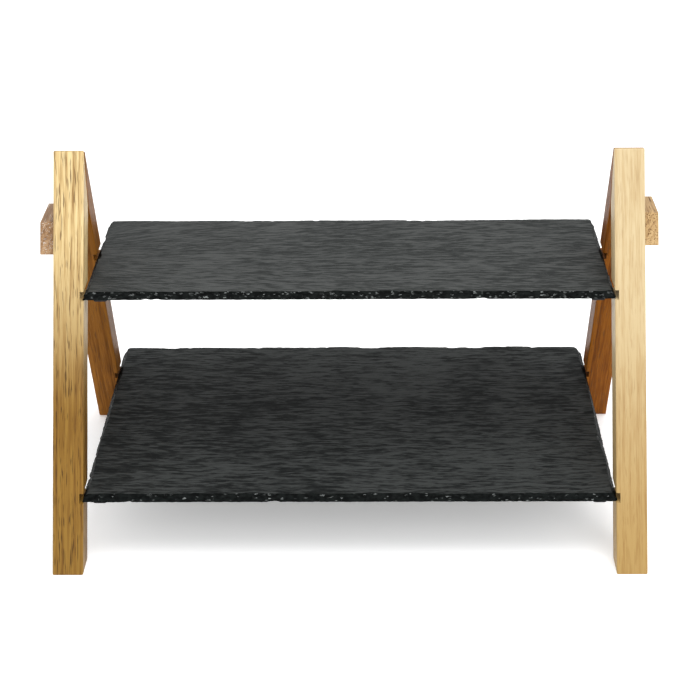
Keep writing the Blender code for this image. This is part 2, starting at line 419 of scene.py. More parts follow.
def cleft_group() -> bpy.types.NodeTree:
    """Build the riven face of a slate: short strokes and thin broken layers along X.

    The strokes are noise drawn out along X. Near the left end they fan out, because the depth
    that they are read at is stretched by 1 + fan * e^(-(distance from the left end) / reach).

    Returns:
        The node group.
    """
    bench, given, result = make_group(
        "riven_face",
        {
            "Vector": ("Vector", None),
            "Fan": ("Float", 0.0),
            "Fan Reach": ("Float", 0.12),
            "Wave": ("Float", 0.006),
        },
        {"Tone": "Float", "Fleck": "Float", "Height": "Float"},
    )
    place = given.outputs["Vector"]
    drift = bench.noise(bench.stretched(place, (14.0, 22.0, 10.0)), detail=2.0).outputs[0]
    drift = bench.math("MULTIPLY", bench.math("SUBTRACT", drift, 0.5), given.outputs["Wave"])
    parts = bench.node("ShaderNodeSeparateXYZ", {0: place})
    from_end = bench.math("DIVIDE", bench.math("ADD", parts.outputs[0], 0.2), given.outputs["Fan Reach"])
    fall = bench.math("EXPONENT", bench.math("MULTIPLY", from_end, -1.0))
    stretch = bench.math("ADD", bench.math("MULTIPLY", fall, given.outputs["Fan"]), 1.0)
    depth = bench.math("MULTIPLY", bench.math("ADD", parts.outputs[1], drift), stretch)
    laid = bench.node("ShaderNodeCombineXYZ", {0: parts.outputs[0], 1: depth, 2: parts.outputs[2]}).outputs[0]

    stroke = bench.noise(bench.stretched(laid, (70.0, 420.0, 200.0)), detail=3.0, distortion=0.4).outputs[0]
    hair = bench.noise(bench.stretched(laid, (190.0, 1300.0, 400.0)), detail=2.0).outputs[0]
    layer = bench.noise(bench.stretched(laid, (26.0, 95.0, 60.0)), detail=3.0).outputs[0]
    cloud = bench.noise(bench.stretched(place, (7.0, 10.0, 10.0)), detail=2.0).outputs[0]
    grit = bench.noise(bench.stretched(place, (1500.0, 1500.0, 900.0)), detail=1.0).outputs[0]

    tone = bench.math("MULTIPLY", stroke, 0.5)
    tone = bench.math("ADD", tone, bench.math("MULTIPLY", hair, 0.2))
    tone = bench.math("ADD", tone, bench.math("MULTIPLY", layer, 0.12))
    tone = bench.math("ADD", tone, bench.math("MULTIPLY", cloud, 0.18))
    bench.feed(result.inputs["Tone"], bench.remap(tone, 0.42, 0.58))
    bench.feed(result.inputs["Fleck"], bench.remap(grit, 0.70, 0.78))
    ledge = bench.math("MULTIPLY", bench.math("FRACT", bench.math("MULTIPLY", layer, 7.0)), 0.12)
    height = bench.math("ADD", bench.math("MULTIPLY", stroke, 0.75), bench.math("MULTIPLY", hair, 0.22))
    bench.feed(result.inputs["Height"], bench.math("ADD", height, ledge))
    return bench.tree


def chipped_group() -> bpy.types.NodeTree:
    """Build the chipped edge of a slate: black broken stone with pale crumbs on it.

    Returns:
        The node group.
    """
    bench, given, result = make_group(
        "chipped_edge",
        {"Vector": ("Vector", None), "Crumbs": ("Float", 0.5)},
        {"Color": "Color", "Roughness": "Float", "Height": "Float"},
    )
    place = given.outputs["Vector"]
    flake = bench.node(
        "ShaderNodeTexVoronoi",
        {"Vector": bench.stretched(place, (520.0, 520.0, 1150.0)), "Scale": 1.0, "Randomness": 1.0},
    )
    tint = bench.node("ShaderNodeSeparateColor", {0: flake.outputs["Color"]})
    crack = bench.noise(bench.stretched(place, (900.0, 900.0, 2400.0)), detail=3.0).outputs[0]
    broad = bench.noise(bench.stretched(place, (210.0, 210.0, 420.0)), detail=2.0).outputs[0]
    bright = bench.math("SUBTRACT", 0.96, bench.math("MULTIPLY", given.outputs["Crumbs"], 0.2))
    crumb = bench.math("MULTIPLY", bench.remap(tint.outputs[0], bright, 1.0), bench.remap(crack, 0.42, 0.62))
    colour = bench.blend(bench.remap(broad, 0.35, 0.65), (0.001, 0.0015, 0.0015), (0.006, 0.0075, 0.0072))
    colour = bench.blend(crumb, colour, (0.20, 0.215, 0.21))
    bench.feed(result.inputs["Color"], colour)
    bench.feed(result.inputs["Roughness"], bench.remap(crack, 0.3, 0.7, 0.38, 0.75))
    height = bench.math("ADD", bench.math("MULTIPLY", crack, 0.6), tint.outputs[1])
    bench.feed(result.inputs["Height"], height)
    return bench.tree


@dataclass
class Groups:
    """The node groups that the finishes share."""

    wood: bpy.types.NodeTree = field(default_factory=wood_group)
    cleft: bpy.types.NodeTree = field(default_factory=cleft_group)
    chipped: bpy.types.NodeTree = field(default_factory=chipped_group)


def start_material(name: str) -> tuple[Bench, bpy.types.Node]:
    """Make a material and return the bench of its tree and its Principled shader."""
    material = bpy.data.materials.new(name)
    material.use_nodes = True
    return Bench(material.node_tree), material.node_tree.nodes["Principled BSDF"]


def bench_material(bench: Bench) -> bpy.types.Material:
    """Return the material that a bench's tree belongs to."""
    return next(material for material in bpy.data.materials if material.node_tree == bench.tree)


def add_bump(bench: Bench, shader: bpy.types.Node, height: Input, depth: float) -> None:
    """Give a shader a bump.

    Args:
        bench: Bench of the material.
        shader: Shader that takes the normal.
        height: Socket with the height, from about 0 to 1.
        depth: Metres that a height of 1 stands up.
    """
    bump = bench.node("ShaderNodeBump", {"Strength": 1.0, "Distance": depth, "Height": height})
    bench.feed(shader.inputs["Normal"], bump.outputs["Normal"])


@dataclass(frozen=True)
class WoodFinish:
    """Oiled wood of one piece."""

    light: Colour
    middle: Colour
    dark: Colour
    pore: Colour = (0.10, 0.05, 0.02)
    pith: Triple = (0.03, 0.02, 0.0)
    ring_spacing: float = 0.0042
    ring_strength: float = 0.35
    streak_strength: float = 0.45
    pore_strength: float = 0.6
    wander: float = 0.003
    cloud: float = 0.35
    # Painted shade towards the foot: its tone, how strongly it darkens, and the shares of the height between
    # which it fades out.
    painted_foot_shade_tone: Colour = (0.62, 0.52, 0.40)
    painted_foot_shade_share: float = 0.0
    painted_foot_shade_from: float = 0.0
    painted_foot_shade_to: float = 1.0
    bump_depth: float = 0.00022
    specular: float = 0.2

    def material(
        self, name: str, groups: Groups, turn: Triple, middle: Triple, height: float
    ) -> bpy.types.Material:
        """Make the material for a piece.

        Args:
            name: Name of the material.
            groups: The shared node groups.
            turn: Rotation that brings the grain to the vector's Z.
            middle: Point of the piece that the pattern is centred on.
            height: Height over which painted shade darkens the wood towards the foot.

        Returns:
            The material.
        """
        bench, shader = start_material(name)
        place = bench.node("ShaderNodeTexCoord").outputs["Object"]
        centred = bench.vector("SUBTRACT", place, middle)
        laid = bench.node("ShaderNodeMapping", {"Vector": centred, "Rotation": turn}).outputs[0]
        wood = bench.node("ShaderNodeGroup", node_tree=groups.wood)
        values = {
            "Vector": laid,
            "Light": self.light,
            "Middle": self.middle,
            "Dark": self.dark,
            "Pore": self.pore,
            "Pith": self.pith,
            "Ring Spacing": self.ring_spacing,
            "Ring Strength": self.ring_strength,
            "Streak Strength": self.streak_strength,
            "Pore Strength": self.pore_strength,
            "Wander": self.wander,
            "Cloud": self.cloud,
            "Arris": bench.node("ShaderNodeAttribute", attribute_name="arris").outputs["Fac"],
        }
        for socket, value in values.items():
            bench.feed(wood.inputs[socket], value)
        colour = wood.outputs["Color"]
        # Painted shade: the colour is multiplied darker towards the foot, standing in for less light from
        # above reaching the low part of the leg.
        if self.painted_foot_shade_share:
            rise = bench.node("ShaderNodeSeparateXYZ", {0: place}).outputs[2]
            low = bench.remap(rise, self.painted_foot_shade_from * height, self.painted_foot_shade_to * height, self.painted_foot_shade_share, 0.0)
            colour = bench.blend(low, colour, self.painted_foot_shade_tone, way="MULTIPLY")
        bench.feed(shader.inputs["Base Color"], colour)
        bench.feed(shader.inputs["Roughness"], wood.outputs["Roughness"])
        shader.inputs["Specular IOR Level"].default_value = self.specular
        add_bump(bench, shader, wood.outputs["Height"], self.bump_depth)
        return bench_material(bench)


@dataclass(frozen=True)
class SlateFinish:
    """Riven slate with chipped edges."""

    low: Colour
    high: Colour
    crumbs: float
    fan: float = 0.0
    fan_reach: float = 0.1
    wave: float = 0.008
    fleck: Colour = (0.16, 0.165, 0.16)
    bump_depth: float = 0.0005
    specular: float = 0.05

    def material(self, name: str, groups: Groups) -> bpy.types.Material:
        """Make the material of one slate; the mark `edge` tells the chipped edge from the face.

        Args:
            name: Name of the material.
            groups: The shared node groups.

        Returns:
            The material.
        """
        bench, shader = start_material(name)
        place = bench.node("ShaderNodeTexCoord").outputs["Object"]
        cleft = bench.node("ShaderNodeGroup", node_tree=groups.cleft)
        values = {"Vector": place, "Fan": self.fan, "Fan Reach": self.fan_reach, "Wave": self.wave}
        for socket, value in values.items():
            bench.feed(cleft.inputs[socket], value)
        chipped = bench.node("ShaderNodeGroup", node_tree=groups.chipped)
        bench.feed(chipped.inputs["Vector"], place)
        bench.feed(chipped.inputs["Crumbs"], self.crumbs)
        edge = bench.node("ShaderNodeAttribute", attribute_name="edge").outputs["Fac"]
        edge = bench.remap(edge, 0.35, 0.65)
        face = bench.blend(cleft.outputs["Tone"], self.low, self.high)
        face = bench.blend(bench.math("MULTIPLY", cleft.outputs["Fleck"], 0.5), face, self.fleck)
        bench.feed(shader.inputs["Base Color"], bench.blend(edge, face, chipped.outputs["Color"]))
        smooth = bench.remap(cleft.outputs["Tone"], 0.0, 1.0, 0.62, 0.48)
        rough = bench.node("ShaderNodeMix", {0: edge, 2: smooth, 3: chipped.outputs["Roughness"]})
        bench.feed(shader.inputs["Roughness"], rough.outputs[0])
        shader.inputs["Specular IOR Level"].default_value = self.specular
        heights = {0: edge, 2: cleft.outputs["Height"], 3: chipped.outputs["Height"]}
        height = bench.node("ShaderNodeMix", heights)
        add_bump(bench, shader, height.outputs[0], self.bump_depth)
        return bench_material(bench)


@dataclass(frozen=True)
class FoamFinish:
    """Black closed-cell foam."""

    low: Colour = (0.006, 0.006, 0.007)
    high: Colour = (0.022, 0.022, 0.024)

    def material(self, name: str) -> bpy.types.Material:
        """Make the material: fine closed cells in colour and bump."""
        bench, shader = start_material(name)
        place = bench.node("ShaderNodeTexCoord").outputs["Object"]
        cell = bench.node("ShaderNodeTexVoronoi", {"Vector": place, "Scale": 2400.0}).outputs["Distance"]
        bench.feed(shader.inputs["Base Color"], bench.blend(bench.remap(cell, 0.1, 0.7), self.low, self.high))
        bench.feed(shader.inputs["Roughness"], bench.remap(cell, 0.1, 0.7, 0.95, 0.8))
        add_bump(bench, shader, cell, 0.00012)
        return bench_material(bench)


@dataclass(frozen=True)
class SteelFinish:
    """Bright wire steel of the panel pins, dulled in places."""

    bright: Colour = (0.60, 0.60, 0.61)
    dull: Colour = (0.34, 0.33, 0.31)

    def material(self, name: str) -> bpy.types.Material:
        """Make the material: stamped heads with a dull bloom and fine marks."""
        bench, shader = start_material(name)
        place = bench.node("ShaderNodeTexCoord").outputs["Object"]
        bloom = bench.noise(bench.stretched(place, (900.0, 900.0, 900.0)), detail=3.0).outputs[0]
        mark = bench.noise(bench.stretched(place, (700.0, 9000.0, 2600.0)), detail=2.0).outputs[0]
        colour = bench.blend(bench.remap(bloom, 0.4, 0.7), self.bright, self.dull)
        bench.feed(shader.inputs["Base Color"], colour)
        bench.feed(shader.inputs["Roughness"], bench.remap(bloom, 0.3, 0.75, 0.25, 0.55))
        shader.inputs["Metallic"].default_value = 1.0
        add_bump(bench, shader, mark, 0.00004)
        return bench_material(bench)


# ---------------------------------------------------------------- end frames


@dataclass
class Leg:
    """One leg of an A-frame, its horizontal sections stacked from foot to apex."""

    side: Side
    place: Place
    finish: WoodFinish
    middle: float
    seed: int
    mitre_at_crotch: float
    mitre_at_top: float
    top_drop: float = 0.0
    top_flat: float = 0.0022
    section: float = 0.0238
    edge_round: float = 0.0008
    dado_depth: float = 0.003
    dados: tuple[tuple[float, float], ...] = ()
    row_step: float = 0.004
    arc_steps: int = 5

    @property
    def node(self) -> str:
        """Name of the leg's solid."""
        return f"{self.side.name.lower()}_{self.place.name.lower()}_leg"

    def ring(self, half_width: float) -> tuple[Array, Array, Array]:
        """Describe a section with round corners by weights on its half sizes and its radius.

        A point's X is weight * half width + share * radius, and its Y is built in the same way,
        so a corner point has the share cos t - 1 or sin t - 1 of the radius and a point on a
        flat has none.

        Args:
            half_width: Half of the leg's width.

        Returns:
            Weights and shares as arrays of (point, X or Y), and the corner mark of each point, which sets the
            strength of the painted highlight along the arris.
        """
        turns = np.linspace(0.0, math.pi / 2, self.arc_steps)
        dado_line = 1 - self.dado_depth / half_width
        on_side = np.array([0.5, 0.0, -0.5])
        on_face = np.sort(-self.side.value * np.array([dado_line, 0.4, -0.1, -0.6]))
        weights, shares, corners = [], [], []
        for quarter, (sx, sy) in enumerate(((1, 1), (-1, 1), (-1, -1), (1, -1))):
            turn = turns + quarter * math.pi / 2
            arc = np.stack([np.cos(turn), np.sin(turn)], axis=-1)
            corner = np.array([sx, sy], float)
            weights.append(np.tile(corner, (len(turn), 1)))
            shares.append(arc - corner)
            corners.append(np.sin(2 * turns) ** 0.5 * 0.6 + 0.4)
            if quarter % 2 == 0:
                flat = np.stack([on_face[::-sx], np.full(len(on_face), sy)], axis=-1)
            else:
                flat = np.stack([np.full(len(on_side), sx), sy * on_side], axis=-1)
            weights.append(flat)
            shares.append(np.zeros_like(flat))
            corners.append(np.zeros(len(flat)))
        return np.concatenate(weights), np.concatenate(shares), np.concatenate(corners)

    def rows(self, top: float) -> tuple[Array, Array, Array]:
        """Set the heights of the sections.

        The ends are eased along a quarter circle, and each dado starts and stops with two
        sections at one height, the second of them cut back.

        Args:
            top: Height of the leg.

        Returns:
            Heights, how far each section is drawn in, and how deep each is cut back.
        """
        turn = np.linspace(0.0, math.pi / 2, 4)
        rise = self.edge_round * (1 - np.cos(turn))
        drawn = self.edge_round * (1 - np.sin(turn))
        heights, insets, cuts = [rise], [drawn], [np.zeros(4)]
        sides = [level for dado in self.dados for level in dado]
        bounds = [self.edge_round, *sides, top - self.edge_round]
        for number, (low, high) in enumerate(zip(bounds, bounds[1:])):
            count = max(2, round((high - low) / self.row_step) + 1)
            heights.append(np.linspace(low, high, count))
            insets.append(np.zeros(count))
            cuts.append(np.full(count, self.dado_depth if number % 2 else 0.0))
        heights.append(top - rise[::-1])
        insets.append(drawn[::-1])
        cuts.append(np.zeros(4))
        return np.concatenate(heights), np.concatenate(insets), np.concatenate(cuts)

    def build(self, groups: Groups) -> bpy.types.Object:
        """Build the leg.

        The section at height z runs from the sloping outer face to the sloping inner face or
        the mitre, whichever comes first: outer = foot reach - z tan(lean), inner = the larger of
        outer - section and the mitre.

        Args:
            groups: The shared node groups.

        Returns:
            The leg.
        """
        low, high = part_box(self.node)
        top = high.z - self.top_drop
        half_width = (high.x - low.x) / 2
        centre_x = (high.x + low.x) / 2
        foot_reach = max(abs(low.y - self.middle), abs(high.y - self.middle))
        slope = (foot_reach - self.top_flat) / high.z
        weights, shares, corners = self.ring(half_width)
        heights, insets, cuts = (values[:, None] for values in self.rows(top))

        crotch = (foot_reach - self.section) / slope
        gap = self.mitre_at_crotch + (self.mitre_at_top - self.mitre_at_crotch) * np.clip(
            (heights - crotch) / (top - crotch), 0.0, 1.0
        )
        outer = foot_reach - heights * slope
        inner = np.maximum(outer - self.section, gap / 2)
        half_depth = (outer - inner) / 2 - insets
        half_across = half_width - insets
        ease = 1 + 0.35 * lattice_noise(heights / 0.009, weights[:, 0] * 2 + weights[:, 1] * 5, self.seed)
        radius = np.minimum(self.edge_round * ease, half_depth * 0.8)
        across = weights[:, 0] * half_across + shares[:, 0] * radius
        limit = half_across - cuts
        inward = -self.side.value
        across = inward * np.minimum(inward * across, limit)
        depth = weights[:, 1] * half_depth + shares[:, 1] * radius
        depth = self.place.value * ((outer + inner) / 2) + depth
        points = np.stack(
            [centre_x + across, self.middle + depth, np.broadcast_to(heights, across.shape)], axis=-1
        )
        rows, around = across.shape
        # The corner marks set the painted highlight along the eased arrises and round the eased ends.
        eased = np.broadcast_to(corners, across.shape).copy()
        eased[insets[:, 0] > 0] = 0.8
        caps = [np.arange(around)[None, :], (rows - 1) * around + np.arange(around)[None, :]]
        lean = math.atan(slope)
        material = self.finish.material(
            f"{self.node}_wood",
            groups,
            (-self.place.value * lean, 0.0, 0.0),
            (centre_x, self.middle + self.place.value * foot_reach, 0.0),
            high.z,
        )
        faces = [grid_quads(rows, around, wrap=True), *caps]
        marks = {"arris": eased.ravel()}
        leg = make_piece(
            f"{self.node}_shaped", points.reshape(-1, 3), faces, material, marks, crease=32.0
        )
        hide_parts(self.node)
        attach(leg, f"{self.side.name.lower()}_end_frame")
        return leg


@dataclass
class EndFrame:
    """One A-frame end: two legs, the cleat that bridges them and its panel pins."""

    side: Side
    front: WoodFinish
    rear: WoodFinish
    cleat: WoodFinish
    seed: int
    mitre: tuple[float, float]
    rear_drop: float
    dado_under: float = 0.0003
    dado_over: float = 0.0006

    @property
    def label(self) -> str:
        """Word that starts the names of this end's pieces."""
        return self.side.name.lower()

    def dados(self) -> tuple[tuple[float, float], ...]:
        """Return the lower and upper side of each dado, lowest first."""
        found = []
        for tier in ("lower", "upper"):
            low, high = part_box(f"{tier}_slate")
            found.append((low.z - self.dado_under, high.z + self.dado_over))
        return tuple(found)

    def build(self, groups: Groups, steel: bpy.types.Material) -> list[bpy.types.Object]:
        """Build the legs and dress the cleat and its pins.

        Args:
            groups: The shared node groups.
            steel: Finish of the pins.

        Returns:
            The pieces of this end.
        """
        front_low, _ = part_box(f"{self.label}_front_leg")
        _, rear_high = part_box(f"{self.label}_rear_leg")
        middle = (front_low.y + rear_high.y) / 2
        made = []
        for place, finish in ((Place.FRONT, self.front), (Place.REAR, self.rear)):
            leg = Leg(
                side=self.side,
                place=place,
                finish=finish,
                middle=middle,
                seed=self.seed + place.value,
                mitre_at_crotch=self.mitre[0],
                mitre_at_top=self.mitre[1],
                top_drop=self.rear_drop if place is Place.REAR else 0.0,
                dados=self.dados(),
            )
            made.append(leg.build(groups))
        made.append(self.dress_cleat(groups))
        for leg in ("front", "rear"):
            for level in ("upper", "lower"):
                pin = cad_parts[f"{self.label}_{leg}_{level}_pin"]
                pin.material_slots[0].material = steel
                made.append(pin)
        return made

    def dress_cleat(self, groups: Groups) -> bpy.types.Object:
        """Give the cleat its wood, the grain running from front to rear."""
        name = f"{self.label}_cleat"
        low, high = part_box(name)
        middle = tuple((low + high) / 2)
        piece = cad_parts[name]
        quarter = math.pi / 2
        piece.material_slots[0].material = self.cleat.material(
            f"{name}_wood", groups, (quarter, 0.0, 0.0), middle, high.z
        )
        return piece


# ---------------------------------------------------------------- tiers


@dataclass
class Slate:
    """A riven slate board: level faces with thin broken layers, edges dressed by chipping."""

    node: str
    finish: SlateFinish
    seed: int
    corner_radii: tuple[float, float, float, float]
    clips: tuple[tuple[int, int, float, float], ...] = ()
    edge_slope: float = 0.0036
    face_inset: float = 0.0066
    cell: float = 0.00156
    edge_rows: int = 9
    relief: float = 0.00022
    ledge: float = 0.0005
    grain: float = 0.00022
    bite: float = 0.0022
    flake_drop: float = 0.0009
    flake_rise: float = 0.0008
    arris_ease: float = 0.00012
    bite_spacing: float = 0.012
    wave_spacing: float = 0.03
    ledge_spacing: float = 0.0045
    grain_spacing: float = 0.0016
    jitter_spacing: float = 0.003

    def rim(self, columns: int, rows: int) -> tuple[Array, Array]:
        """Walk round the border of a grid, anticlockwise from its front left corner.

        Args:
            columns: Points of the grid along X.
            rows: Points of the grid along Y.

        Returns:
            Places on a square from -1 to 1, and the numbers of the grid's points there.
        """
        along, up = np.linspace(-1, 1, columns), np.linspace(-1, 1, rows)
        ones_x, ones_y = np.ones(columns - 1), np.ones(rows - 1)
        places = np.concatenate(
            [
                np.stack([along[:-1], -ones_x], axis=-1),
                np.stack([ones_y, up[:-1]], axis=-1),
                np.stack([along[:0:-1], ones_x], axis=-1),
                np.stack([-ones_y, up[:0:-1]], axis=-1),
            ]
        )
        grid = np.arange(rows * columns).reshape(rows, columns)
        numbers = np.concatenate([grid[0, :-1], grid[:-1, -1], grid[-1, :0:-1], grid[:0:-1, 0]])
        return places, numbers

    def outline(self, places: Array, half: Array) -> Array:
        """Round and clip the corners of a rectangle.

        A point in a corner moves straight towards the centre of the corner's arc until it lies
        on the arc. A clip of a along X and b along Y keeps x / a + y / b above 1, x and y being
        the distances from the corner.

        Args:
            places: Places on a square from -1 to 1.
            half: Half sizes of the rectangle.

        Returns:
            Points of the outline about its middle.
        """
        points = places * half
        sides = np.where(places >= 0, 1.0, -1.0)
        corner = (sides[:, 1] > 0) * 2 + np.where(sides[:, 1] > 0, sides[:, 0] < 0, sides[:, 0] > 0)
        radius = np.asarray(self.corner_radii)[corner.astype(int)][:, None]
        over = np.abs(points) - (half - radius)
        inside = (over > 0).all(axis=1, keepdims=True)
        length = np.maximum(np.linalg.norm(over, axis=1, keepdims=True), 1e-9)
        points = np.where(inside, sides * (half - radius + over * radius / length), points)
        for sx, sy, reach_x, reach_y in self.clips:
            reach = np.array([reach_x, reach_y])
            share = ((half - points * (sx, sy)) / reach).sum(axis=1, keepdims=True)
            points = points - np.maximum(0, 1 - share) / 2 * reach * (sx, sy)
        return points

    def face_relief(self, x: Array, y: Array, seed: int) -> Array:
        """Height of a riven face: slow swells, and thin layers that break off in steps.

        The layers are the whole part of a second noise, drawn out along X, times five.

        Args:
            x: Places along the board.
            y: Places across the board.
            seed: Seed of the noise.

        Returns:
            Heights in metres, at most 0.
        """
        swell = lattice_noise(x / 0.055, y / 0.035, seed)
        broad = lattice_noise(x / 0.034, y / 0.013, seed + 1)
        layers = broad + 0.45 * lattice_noise(x / 0.011, y / 0.0045, seed + 2)
        lift = layers * 2.5
        part = lift - np.floor(lift)
        step = np.floor(lift) + np.clip((part - 0.82) / 0.18, 0, 1)
        ripple = lattice_noise(x / 0.012, y / 0.0036, seed + 3)
        return self.relief * (0.5 * swell + 0.16 * step + 0.14 * ripple - 1.0)

    def edge_bites(self, along: Array, cells: int, seed: int, level: float) -> Array:
        """Depth from 0 to 1 of the flakes struck off along an arris, by place round the rim."""
        wide = lattice_noise(along * cells, np.full_like(along, 0.5), seed, cells)
        small = lattice_noise(along * cells * 3, np.full_like(along, 7.5), seed + 1, cells * 3)
        return np.clip((wide + 0.45 * small - level) / (1.3 - level), 0, 1)

    def rim_noise(
        self, along: Array, length: float, spacing: float, across: Array, offset: int
    ) -> Array:
        """Noise round the rim, repeating after the whole way round.

        Args:
            along: Places round the rim, as shares of its length.
            length: Length of the rim.
            spacing: Width of a cell of the noise.
            across: Places across the edge.
            offset: Number added to the slate's seed.

        Returns:
            Noise from -1 to 1.
        """
        cells = round(length / spacing)
        return lattice_noise(along * cells, across, self.seed + offset, cells)

    def build(self, groups: Groups, body: str) -> bpy.types.Object:
        """Build the slate.

        The upper face is an even grid. From its border, rings run out to the upper arris, down
        the chipped edge to the lower arris and in again to the grid of the lower face. The edge
        lies slope * (1 - v)^0.85 inside the lower outline at the share v of the way down, less
        the ledges, grains and struck flakes, so it never stands outside its solid.

        Args:
            groups: The shared node groups.
            body: Body that the slate rides on.

        Returns:
            The slate.
        """
        low, high = (np.array(corner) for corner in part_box(self.node))
        half = (high[:2] - low[:2]) / 2
        middle = (high[:2] + low[:2]) / 2
        thickness = high[2] - low[2]
        face = half - self.face_inset
        columns, rows = (4 * np.round(face * 2 / self.cell / 4).astype(int) + 1).tolist()

        # Upper face
        grid_x, grid_y = np.meshgrid(
            np.linspace(-face[0], face[0], columns), np.linspace(-face[1], face[1], rows)
        )
        grid_z = high[2] + self.face_relief(grid_x, grid_y, self.seed)
        upper_grid = np.stack([grid_x, grid_y, grid_z], axis=-1)
        places, upper_rim = self.rim(columns, rows)
        count = len(places)
        fine = np.empty((2 * count, 2))
        fine[0::2], fine[1::2] = places, (places + np.roll(places, -1, axis=0)) / 2
        lower_outline = self.outline(fine, half)
        ahead = np.roll(lower_outline, -1, axis=0) - np.roll(lower_outline, 1, axis=0)
        outward = np.stack([ahead[:, 1], -ahead[:, 0]], axis=-1)
        outward /= np.linalg.norm(outward, axis=1, keepdims=True)
        steps = np.linalg.norm(lower_outline - np.roll(lower_outline, 1, axis=0), axis=1)
        length = steps.sum()
        along = np.cumsum(steps) / length

        # Chipped edge
        cells = round(length / self.bite_spacing)
        share = np.linspace(0.0, 1.0, self.edge_rows)[:, None]
        upper_bite = self.edge_bites(along, cells, self.seed + 10, 0.35)
        lower_bite = self.edge_bites(along, cells, self.seed + 20, 0.45)
        around_rim = partial(self.rim_noise, along, length)
        long_wave = 0.25 * around_rim(self.wave_spacing, np.zeros_like(along), 30)
        ledges = around_rim(self.ledge_spacing, share * 4.3 + 0.3, 31)
        grains = around_rim(self.grain_spacing, share * 7.7 + 9.1, 32)
        inset = self.edge_slope * (1 - share) ** 0.85 * (1 + long_wave)
        inset = inset + self.ledge * (0.5 + 0.5 * ledges) + self.grain * (1 + grains)
        inset = inset + self.bite * (upper_bite * (1 - share) ** 2 + 0.8 * lower_bite * share**2)
        jitter = 0.35 / self.edge_rows * around_rim(self.jitter_spacing, share * 5.1 + 20.2, 33)
        jitter[0], jitter[-1] = 0, 0
        edge_xy = lower_outline[None] - outward[None] * inset[..., None]
        over, under = self.seed, self.seed + 5
        arris_top = high[2] - self.arris_ease - self.flake_drop * upper_bite
        arris_top = arris_top + self.face_relief(*edge_xy[0].T, over) * 0.7
        arris_low = low[2] + 0.0001 + self.flake_rise * lower_bite
        arris_low = arris_low - self.face_relief(*edge_xy[-1].T, under) * 0.5
        edge_z = arris_top + (arris_low - arris_top) * (share + jitter)

        # Rings between the upper face's border and its arris
        border = fine * face
        toward = np.array([0.36, 0.64, 0.86])[:, None, None]
        band_xy = border[None] + (edge_xy[0] - border)[None] * toward
        flake = upper_bite * np.array([0.0, 0.18, 0.55])[:, None]
        band_z = high[2] + self.face_relief(band_xy[..., 0], band_xy[..., 1], over)
        band_z = band_z - self.flake_drop * flake - self.arris_ease * toward[..., 0] ** 3

        # Rings between the lower arris and the lower face
        inward = np.array([0.2, 0.6])[:, None, None]
        under_xy = edge_xy[-1][None] + (border - edge_xy[-1])[None] * inward
        under_z = low[2] - self.face_relief(under_xy[..., 0], under_xy[..., 1], under)
        under_z = under_z + self.flake_rise * lower_bite * np.array([0.5, 0.0])[:, None]

        xy = np.concatenate([band_xy, edge_xy, under_xy])
        heights = np.concatenate([band_z, edge_z, under_z])
        strip = np.concatenate([xy, heights[..., None]], axis=-1)
        marks = np.zeros(heights.shape)
        marks[len(band_z) - 1] = 0.3 + 0.7 * (upper_bite > 0.15)
        marks[len(band_z) : len(band_z) + self.edge_rows] = 1.0
        marks[len(band_z)] = 0.75

        # Lower face, a coarser grid
        under_columns, under_rows = (columns - 1) // 2 + 1, (rows - 1) // 2 + 1
        under_x, under_y = np.meshgrid(
            np.linspace(-face[0], face[0], under_columns) * 0.99,
            np.linspace(-face[1], face[1], under_rows) * 0.98,
        )
        below = low[2] - self.face_relief(under_x, under_y, under)
        lower_grid = np.stack([under_x, under_y, below], axis=-1)
        ring_xy = places * face
        ring_z = low[2] - self.face_relief(ring_xy[:, 0], ring_xy[:, 1], under)
        ring = np.concatenate([ring_xy, ring_z[:, None]], axis=-1)

        parts = [upper_grid.reshape(-1, 3), strip.reshape(-1, 3), ring, lower_grid.reshape(-1, 3)]
        starts = np.cumsum([0, *[len(part) for part in parts]])
        around = 2 * count
        first = starts[1] + np.arange(around)
        last = starts[1] + (len(strip) - 1) * around + np.arange(around)
        ring_numbers = starts[2] + np.arange(count)
        _, lower_rim = self.rim(under_columns, under_rows)
        faces = [
            grid_quads(rows, columns),
            join_rings(upper_rim, first),
            grid_quads(len(strip), around, starts[1], wrap=True),
            join_rings(ring_numbers, last)[:, ::-1],
            join_rings(starts[3] + lower_rim, ring_numbers)[:, ::-1],
            grid_quads(under_rows, under_columns, starts[3])[:, ::-1],
        ]
        points = np.concatenate(parts)
        points[:, :2] += middle
        edge = np.zeros(len(points))
        edge[starts[1] : starts[2]] = marks.ravel()
        LOG.info(
            "%s: %.1f mm thick, rim %.0f mm", self.node, thickness / MILLIMETRE, length / MILLIMETRE
        )
        stone = self.finish.material(f"{self.node}_stone", groups)
        slate = make_piece(f"{self.node}_riven", points, faces, stone, {"edge": edge}, crease=50.0)
        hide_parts(self.node)
        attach(slate, body)
        return slate


